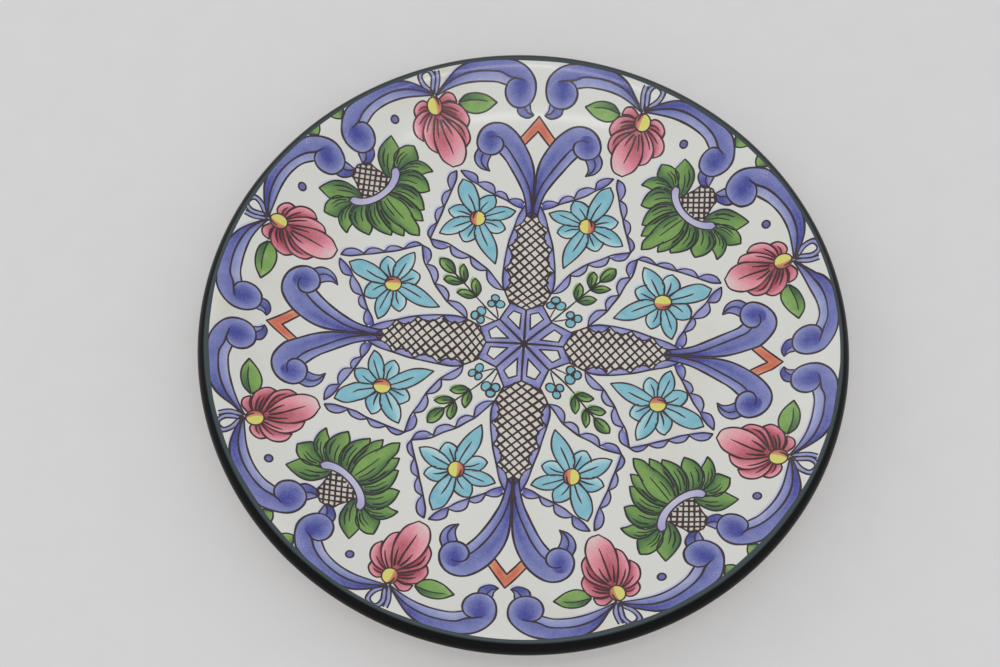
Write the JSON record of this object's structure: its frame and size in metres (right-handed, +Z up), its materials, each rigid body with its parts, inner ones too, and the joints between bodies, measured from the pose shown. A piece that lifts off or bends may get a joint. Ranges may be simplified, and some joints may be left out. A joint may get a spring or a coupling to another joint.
{
  "type": "decorative plate",
  "caption": "Round coupe plate on a foot ring, white glaze with a black band over the lip and a painted floral pattern with eight-fold symmetry on the front.",
  "frame": {"origin": "centre of the foot ring's resting face, on the surface that the plate stands on", "axes": "+Z up out of the dish; the painted pattern's main axes lie along X and Y"},
  "size_m": [0.2, 0.2, 0.0196],
  "materials": {
    "biscuit": "matt fired clay",
    "bare_clay": "matt fired clay, bare where it stands",
    "white_glaze": "gloss",
    "back_white_glaze": "gloss",
    "black_glaze": "gloss",
    "blue_enamel": "gloss",
    "violet_blue_enamel": "gloss",
    "turquoise_enamel": "gloss",
    "rose_enamel": "gloss",
    "green_enamel": "gloss",
    "orange_enamel": "gloss",
    "brown_line_enamel": "gloss"
  },
  "bodies": {
    "root": {"clay_body": "biscuit", "foot_ring": "bare_clay", "front_glaze": "white_glaze", "back_glaze": "back_white_glaze", "rim_band": "black_glaze", "star_flower_1": "turquoise_enamel", "diamond_frame_1": "violet_blue_enamel", "rosebud_1": "rose_enamel", "rim_scrolls_1": "blue_enamel", "star_flower_2": "turquoise_enamel", "diamond_frame_2": "violet_blue_enamel", "rosebud_2": "rose_enamel", "rim_scrolls_2": "blue_enamel", "star_flower_3": "turquoise_enamel", "diamond_frame_3": "violet_blue_enamel", "rosebud_3": "rose_enamel", "rim_scrolls_3": "blue_enamel", "star_flower_4": "turquoise_enamel", "diamond_frame_4": "violet_blue_enamel", "rosebud_4": "rose_enamel", "rim_scrolls_4": "blue_enamel", "star_flower_5": "turquoise_enamel", "diamond_frame_5": "violet_blue_enamel", "rosebud_5": "rose_enamel", "rim_scrolls_5": "blue_enamel", "star_flower_6": "turquoise_enamel", "diamond_frame_6": "violet_blue_enamel", "rosebud_6": "rose_enamel", "rim_scrolls_6": "blue_enamel", "star_flower_7": "turquoise_enamel", "diamond_frame_7": "violet_blue_enamel", "rosebud_7": "rose_enamel", "rim_scrolls_7": "blue_enamel", "star_flower_8": "turquoise_enamel", "diamond_frame_8": "violet_blue_enamel", "rosebud_8": "rose_enamel", "rim_scrolls_8": "blue_enamel", "inner_scrolls_1": "blue_enamel", "lattice_cone_1": "brown_line_enamel", "acanthus_1": "green_enamel", "leaf_sprig_1": "green_enamel", "inner_scrolls_2": "blue_enamel", "lattice_cone_2": "brown_line_enamel", "acanthus_2": "green_enamel", "leaf_sprig_2": "green_enamel", "inner_scrolls_3": "blue_enamel", "lattice_cone_3": "brown_line_enamel", "acanthus_3": "green_enamel", "leaf_sprig_3": "green_enamel", "inner_scrolls_4": "blue_enamel", "lattice_cone_4": "brown_line_enamel", "acanthus_4": "green_enamel", "leaf_sprig_4": "green_enamel", "centre_star": "violet_blue_enamel", "berry_clusters": "turquoise_enamel", "orange_chevrons": "orange_enamel", "blue_dots": "blue_enamel", "rim_leaf_tips": "green_enamel"}
  },
  "joints": []
}
